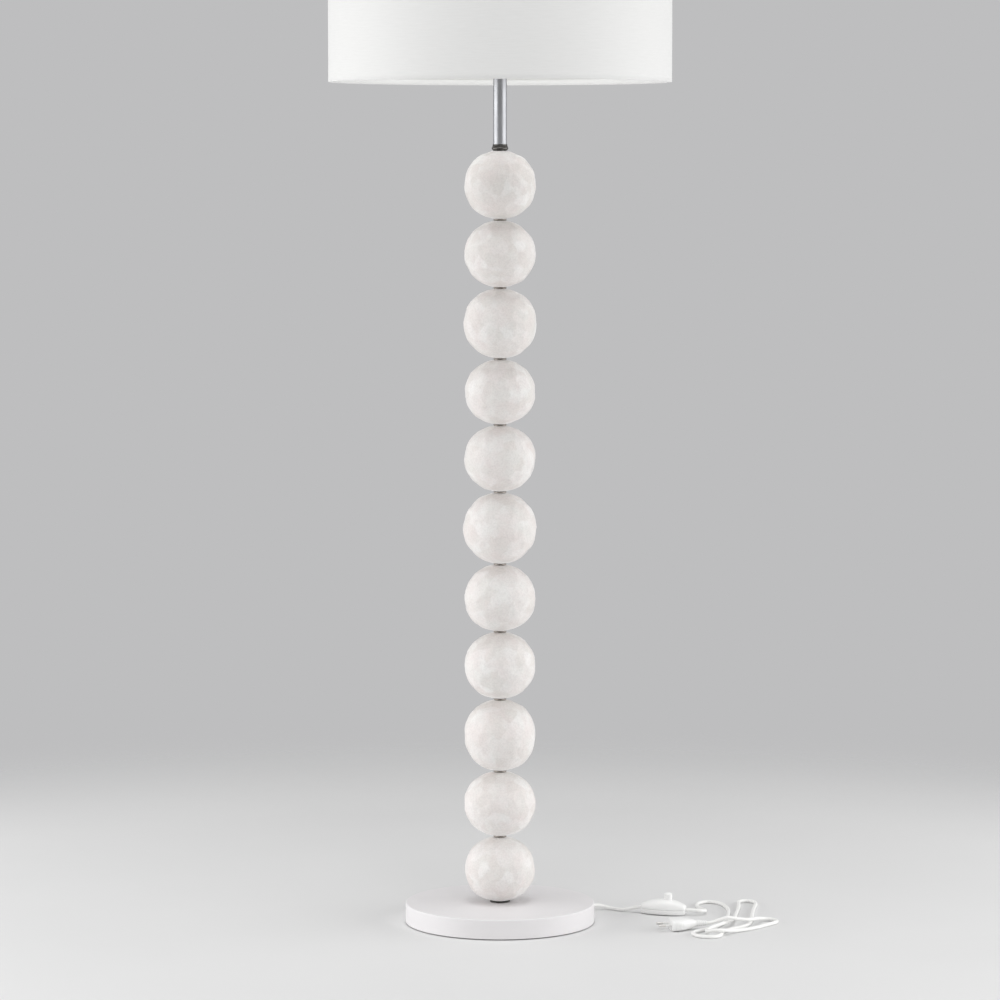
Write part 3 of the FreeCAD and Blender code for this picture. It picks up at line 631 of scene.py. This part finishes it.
def waves(points, size, random, count=14):
    # a smooth random field with features of about the given size, mostly from -1 to 1
    field = np.zeros(len(points))
    for _ in range(count):
        direction = random.normal(0, 1, 3)
        direction *= 2 * math.pi / (size * random.uniform(0.8, 1.6)) / np.linalg.norm(direction)
        field += np.sin(points @ direction + random.uniform(0, 2 * math.pi))
    return field / math.sqrt(count / 2) / 1.6


def makeGlobe(number, setup):
    node = f"globe_{number:02d}"
    low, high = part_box(node)
    radius = (high[0] - low[0]) / 2
    middle, half = (high[2] + low[2]) / 2, (high[2] - low[2]) / 2
    power = 2 / setup["fullness"]
    lastTilt = math.acos((setup["seat"] / radius) ** (1 / power))
    tall = half / math.sin(lastTilt) ** power
    tilts = np.linspace(-lastTilt, lastTilt, setup["rings"])
    turns = np.linspace(0, 2 * math.pi, setup["around"], endpoint=False)
    tilt, turn = [grid.ravel() for grid in np.meshgrid(tilts, turns, indexing="ij")]
    reach = radius * np.cos(tilt) ** power
    points = np.stack([reach * np.cos(turn), reach * np.sin(turn),
                       tall * np.sign(tilt) * np.abs(np.sin(tilt)) ** power], 1)
    ray = points / np.linalg.norm(points, axis=1)[:, None]
    normals, random = facetNormals(setup, setup["seed"] + number)
    facing = np.clip(ray @ normals.T, 0.05, 1)      # kept off zero, because it divides
    # the surface follows the nearest flat, with the edges between flats softened
    edge = setup["facetEdge"]
    flats = -np.log(np.exp(-edge * (setup["facetPlane"] / facing - 1)).sum(1)) / edge
    sink = np.minimum(flats, 0)
    sink -= sink.max()
    swell = waves(points, setup["lumpSize"], random) * setup["lump"]
    swell += waves(points, setup["rippleSize"], random) * setup["ripple"]
    fade = np.clip((reach - setup["seat"]) / setup["calm"], 0, 1)
    fade = fade * fade * (3 - 2 * fade)
    points = points + ray * ((sink * radius + swell) * fade)[:, None]
    points[:, 2] += middle

    around, rings = setup["around"], setup["rings"]
    faces = []
    for ring in range(rings - 1):
        for step in range(around):
            here, beside = ring * around + step, ring * around + (step + 1) % around
            faces.append((here, beside, beside + around, here + around))
    foot, head = len(points), len(points) + 1
    points = np.vstack([points, (0, 0, low[2]), (0, 0, high[2])])
    last = (rings - 1) * around
    for step in range(around):
        beside = (step + 1) % around
        faces.append((foot, beside, step))
        faces.append((head, last + step, last + beside))
    mesh = bpy.data.meshes.new("globe")
    mesh.from_pydata(points.tolist(), [], faces)
    mesh.shade_smooth()
    mesh.materials.append(finishes["plaster"])
    piece = bpy.data.objects.new(f"mouldedGlobe{number:02d}", mesh)
    bpy.context.collection.objects.link(piece)
    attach(piece, "lamp")
    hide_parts(node)


for number in range(1, globeSetup["count"] + 1):
    makeGlobe(number, globeSetup)
print("globes pressed")


shadeSetup = {
    "around": 288,
    "rows": 46,
    "cloth": 0.9 * mm,
    "hem": 8 * mm,
    "hemSwell": 0.08 * mm,   # the cloth stands a little proud over the wire
    "hemRoom": 4.7 * mm,     # between the wall and the turned-in flap, for the wire and the liner
    "hemHidden": 6 * mm,     # more cloth taken up round each wire
    "edgeRound": 0.5 * mm, "foldRound": 0.4 * mm,
    "seamWidth": 12 * mm,
    "seamStep": 0.5 * mm,
    "seamRun": 1.5 * mm, "seamSlope": 2 * mm,   # the step starts this far past the lap, and slopes over this
    "seamAngle": 90,         # at the back
    "uneven": 0.25 * mm,
    "waveTurns": 3, "waveRise": 9,              # waves round the drum, and radians a metre up it
    "waveTurnFrom": 1.1, "waveRiseFrom": 0.7,   # radians
}


def makeShadeCloth(setup):
    low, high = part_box("shade_fabric")
    radius = (high[0] - low[0]) / 2
    bottom, top = low[2], high[2]
    inside, cloth, hem = radius - setup["cloth"], setup["cloth"], setup["hem"]
    flap = inside - setup["hemRoom"]
    bend, fold = setup["edgeRound"], setup["foldRound"]
    outline = []                     # (radius, height, 1 on the outside wall and 0 elsewhere)
    for row in range(setup["rows"] + 1):
        height = bottom + bend + (top - bottom - 2 * bend) * row / setup["rows"]
        edge = min(height - bottom, top - height)
        swell = setup["hemSwell"] * max(0.0, 1 - (edge / hem) ** 4)
        outline.append((radius + swell, height, 1.0))
    turnIn = [(radius - bend, 0.0), (flap - cloth + fold, 0.0), (flap - cloth, fold),
              (flap - cloth, hem), (flap, hem), (flap, cloth), (inside, cloth)]
    outline += [(r, top - h, 0.0) for r, h in turnIn]
    outline += [(r, bottom + h, 0.0) for r, h in reversed(turnIn)]
    count, around = len(outline), setup["around"]
    points, faces = [], []
    for step in range(around):
        angle = 2 * math.pi * step / around
        away = abs((angle - math.radians(setup["seamAngle"]) + math.pi) % (2 * math.pi) - math.pi) * radius
        share = (setup["seamWidth"] / 2 + setup["seamRun"] - away) / setup["seamSlope"]
        seam = setup["seamStep"] * max(0.0, min(1.0, share))
        roundWave = math.sin(setup["waveTurns"] * angle + setup["waveTurnFrom"])
        for r, height, outer in outline:
            upWave = math.sin((height - bottom) * setup["waveRise"] + setup["waveRiseFrom"])
            reach = r + outer * (seam + setup["uneven"] * (1 + roundWave * upWave))
            points.append((reach * math.cos(angle), reach * math.sin(angle), height))
    for step in range(around):
        here, beside = step * count, (step + 1) % around * count
        for i in range(count):
            j = (i + 1) % count
            faces.append((here + i, beside + i, beside + j, here + j))
    mesh = bpy.data.meshes.new("shadeCloth")
    mesh.from_pydata(points, [], faces)
    mesh.shade_smooth()
    mesh.materials.append(finishes["shade_cloth"])
    piece = bpy.data.objects.new("shadeCloth", mesh)
    bpy.context.collection.objects.link(piece)
    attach(piece, "lamp")
    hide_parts("shade_fabric")


makeShadeCloth(shadeSetup)
print("shade covered")


def loftPiece(name, rings, material, capped=False, walled=False, sharp=40):
    # rings of points joined in turn; the ends are closed flat, or between a ring's outer and inner half
    count = len(rings[0])
    points = [point for ring in rings for point in ring]
    faces = []
    for i in range(len(rings) - 1):
        for j in range(count):
            here, beside = i * count + j, i * count + (j + 1) % count
            faces.append((here, beside, beside + count, here + count))
    for start in (0, (len(rings) - 1) * count):
        if capped:
            faces.append(tuple(range(start, start + count)))
        if walled:
            for j in range(count // 2 - 1):
                faces.append((start + j, start + j + 1, start + count - 2 - j, start + count - 1 - j))
    mesh = bpy.data.meshes.new(name)
    mesh.from_pydata(points, [], faces)
    shape = bmesh.new()
    shape.from_mesh(mesh)
    bmesh.ops.recalc_face_normals(shape, faces=shape.faces)
    shape.to_mesh(mesh)
    shape.free()
    mesh.shade_smooth()
    mesh.set_sharp_from_angle(angle=math.radians(sharp))
    mesh.materials.append(material)
    piece = bpy.data.objects.new(name, mesh)
    bpy.context.collection.objects.link(piece)
    return piece


def onFloor(points, place, turn):
    # from a piece's own axes, in mm, to the lamp's, in metres
    cosine, sine = math.cos(math.radians(turn)), math.sin(math.radians(turn))
    return [((place[0] + x * cosine - y * sine) * mm, (place[1] + x * sine + y * cosine) * mm,
             (place[2] + z) * mm) for x, y, z in points]


def bored(piece, place, turn, x, radius, reach, steps=64):
    # a round hole along the height, cut through the mesh from the lower to the higher end of its reach
    turns = np.linspace(0, 2 * math.pi, steps, endpoint=False)
    rings = [onFloor([(x + radius * math.cos(t), radius * math.sin(t), z) for t in turns], place, turn)
             for z in reach]
    cutter = loftPiece("cutter", rings, piece.data.materials[0], capped=True)
    cut = piece.modifiers.new("hole", "BOOLEAN")
    cut.operation, cut.solver, cut.object = "DIFFERENCE", "EXACT", cutter
    graph = bpy.context.evaluated_depsgraph_get()
    mesh = bpy.data.meshes.new_from_object(piece.evaluated_get(graph))
    piece.modifiers.clear()
    piece.data = mesh
    bpy.data.objects.remove(cutter)


feltSetup = {
    "around": 160,
    "edgeRound": 0.7 * mm,
    "rings": (0.2, 0.4, 0.6, 0.8, 0.93),    # of the radius
}


def makeFeltPad(setup):
    # a disc cut from thick felt, glued under the weight; its cut edge is soft
    low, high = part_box("base_pad")
    radius, bend = (high[0] - low[0]) / 2, setup["edgeRound"]
    edge = [(bend, 0.0), (0.3 * bend, 0.3 * bend), (0.0, bend)]     # (in from the rim, in from the face)
    inner = [share * radius for share in setup["rings"]]
    profile = [(r, low[2]) for r in inner] + [(radius - r, low[2] + h) for r, h in edge]
    profile += [(radius - r, high[2] - h) for r, h in reversed(edge)]
    profile += [(r, high[2]) for r in reversed(inner)]
    turns = np.linspace(0, 2 * math.pi, setup["around"], endpoint=False)
    rings = [[(r * math.cos(turn), r * math.sin(turn), z) for turn in turns] for r, z in profile]
    pad = loftPiece("feltPad", rings, finishes["felt"], capped=True)
    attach(pad, "lamp")
    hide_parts("base_pad")


makeFeltPad(feltSetup)
print("felt pad laid")


switchSetup = {
    "places": 71, "steps": 44,     # sections along it, and points over each half section
    # the rest is in mm
    "place": (245.3, 52.8, 0.0),
    "turn": -17.0,                 # degrees
    "length": 69.0, "width": 31.0, "endWidth": 12.5,
    "height": 24.0, "endHeight": 15.0,
    "split": 9.0,                  # height of the seam between the shells
    "wall": 1.8,
    "endRound": 2.5,
    "soleFlat": 25.0, "soleRise": 2.0,   # the sole is flat this far from the middle, then rises to the ends
    "seamGap": 0.24, "seamDepth": 0.45, "seamHeight": 0.6,
    "cordHole": 2.85,
    "crown": 2.5, "sole": 3.6,     # squareness of the upper and lower section; 2 is an ellipse
    "buttonOffset": 7.0, "buttonHole": 6.4, "buttonBore": (15.0, 30.0),
    "screwOffset": 22.0, "screwHole": 3.0, "screwBore": (-1.0, 1.7),
}


def switchRing(x, setup, upper):
    # one section of a shell: over the outer wall, then back along the inner one
    half = setup["length"] / 2
    arch = 1 - (x / half) ** 2
    past = max(0.0, abs(x) - half + setup["endRound"])
    cut = setup["endRound"] - math.sqrt(setup["endRound"] ** 2 - past ** 2)
    wide = setup["endWidth"] / 2 + (setup["width"] - setup["endWidth"]) / 2 * arch - cut
    if upper:
        tall = setup["endHeight"] + (setup["height"] - setup["endHeight"]) * arch - cut - setup["split"]
        power, way = 2 / setup["crown"], 1
    else:
        away = max(0.0, (abs(x) - setup["soleFlat"]) / (half - setup["soleFlat"]))
        tall = setup["split"] - setup["soleRise"] * away ** 2 - cut
        power, way = 2 / setup["sole"], -1
    rim = setup["seamGap"] / 2
    angles = np.linspace(0, math.pi, setup["steps"])
    across = np.sign(np.cos(angles)) * np.abs(np.cos(angles)) ** power
    rise = np.abs(np.sin(angles)) ** power
    lip = setup["seamHeight"]
    outer = [(wide - setup["seamDepth"], rim)] + list(zip(wide * across, lip + (tall - lip) * rise))
    outer.append((-wide + setup["seamDepth"], rim))
    room = max(wide - setup["wall"], setup["cordHole"])
    head = max(tall - setup["wall"], setup["cordHole"])
    inner = [(room, rim)] + list(zip(room * across, rim + (head - rim) * rise)) + [(-room, rim)]
    section = [(x, y, setup["split"] + way * z) for y, z in outer + inner[::-1]]
    return onFloor(section, setup["place"], setup["turn"])


def makeSwitchShells(setup):
    # the sections stand closer together towards the ends
    places = setup["length"] / 2 * np.sin(np.linspace(-math.pi / 2, math.pi / 2, setup["places"]))
    shells = []
    for name, node, upper in (("switchLid", "switch_top", True), ("switchTray", "switch_bottom", False)):
        shell = loftPiece(name, [switchRing(x, setup, upper) for x in places], finishes["gloss_plastic"],
                          walled=True)
        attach(shell, "lamp")
        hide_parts(node)
        shells.append(shell)
    lid, tray = shells
    place, turn = setup["place"], setup["turn"]
    bored(lid, place, turn, setup["buttonOffset"], setup["buttonHole"], setup["buttonBore"])
    for side in (-1, 1):
        bored(tray, place, turn, side * setup["screwOffset"], setup["screwHole"], setup["screwBore"])
    return shells


plugSetup = {
    "places": 300, "around": 96,
    "smoothing": 9,                # places averaged, an odd number
    # the rest is in mm
    "place": (250.0, -66.0, 9.0),
    "turn": 10.0,                  # degrees
    # distance from the plug's face, half width, half thickness, squareness of the section
    "sections": [(0.0, 16.6, 7.7, 3.4), (0.5, 17.4, 8.4, 3.4), (1.6, 18.0, 9.0, 3.4), (9.0, 18.0, 9.0, 3.4),
                 (13.5, 17.3, 8.9, 3.2), (18.0, 15.2, 8.7, 3.0), (23.0, 12.0, 8.2, 2.8),
                 (28.0, 9.0, 7.5, 2.5), (32.0, 7.1, 6.8, 2.2), (35.0, 6.0, 6.0, 2.0), (37.0, 5.2, 5.2, 2.0),
                 (54.3, 3.7, 3.7, 2.0)],
    "crispTo": 0.8, "softFrom": 2.8,     # the face's edge keeps its own small round
    "gripFrom": 5.5, "gripPitch": 3.2, "grips": 4, "gripDepth": 0.55,
    "reliefFrom": 40.0, "reliefPitch": 3.0, "reliefGrooves": 5, "reliefDepth": 0.7,
    "grooveWidth": 1.2,
}


def grooves(x, first, pitch, count, width):
    # 1 in the middle of each groove, 0 between them
    share = np.zeros_like(x)
    for i in range(count):
        share = np.maximum(share, 1 - ((x - first - i * pitch) / (width / 2)) ** 2)
    return np.clip(share, 0, 1)


def makePlugBody(setup):
    # one loft from the face to the relief's end, with grip ribs in its sides and rings in the relief
    along, *shape = np.array(setup["sections"]).T
    x = np.linspace(0, along[-1], setup["places"])
    count = setup["smoothing"]
    kernel = np.ones(count) / count
    blend = np.clip((x - setup["crispTo"]) / (setup["softFrom"] - setup["crispTo"]), 0, 1)
    smoothed = []
    for values in shape:
        crisp = np.interp(x, along, values)
        soft = np.convolve(np.pad(crisp, count // 2, mode="edge"), kernel, mode="valid")
        smoothed.append(crisp * (1 - blend) + soft * blend)
    wide, thick, square = smoothed
    grip = setup["gripDepth"] * grooves(x, setup["gripFrom"], setup["gripPitch"], setup["grips"],
                                        setup["grooveWidth"])
    relief = setup["reliefDepth"] * grooves(x, setup["reliefFrom"], setup["reliefPitch"],
                                            setup["reliefGrooves"], setup["grooveWidth"])
    angles = np.linspace(0, 2 * math.pi, setup["around"], endpoint=False)
    rings = []
    for place, w, t, power in zip(x, wide - grip - relief, thick - relief, 2 / square):
        y = w * np.sign(np.cos(angles)) * np.abs(np.cos(angles)) ** power
        z = t * np.sign(np.sin(angles)) * np.abs(np.sin(angles)) ** power
        rings.append(onFloor([(place, a, b) for a, b in zip(y, z)], setup["place"], setup["turn"]))
    body = loftPiece("plugBody", rings, finishes["gloss_plastic"], capped=True, sharp=50)
    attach(body, "lamp")
    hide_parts("plug_body")
    return body


switchPieces = makeSwitchShells(switchSetup) + [nodes[name] for name in ("switch_button", "switch_screws")]
plugPieces = [makePlugBody(plugSetup)] + [nodes[name] for name in ("plug_pins", "plug_pin_sleeves")]
print("switch and plug moulded")
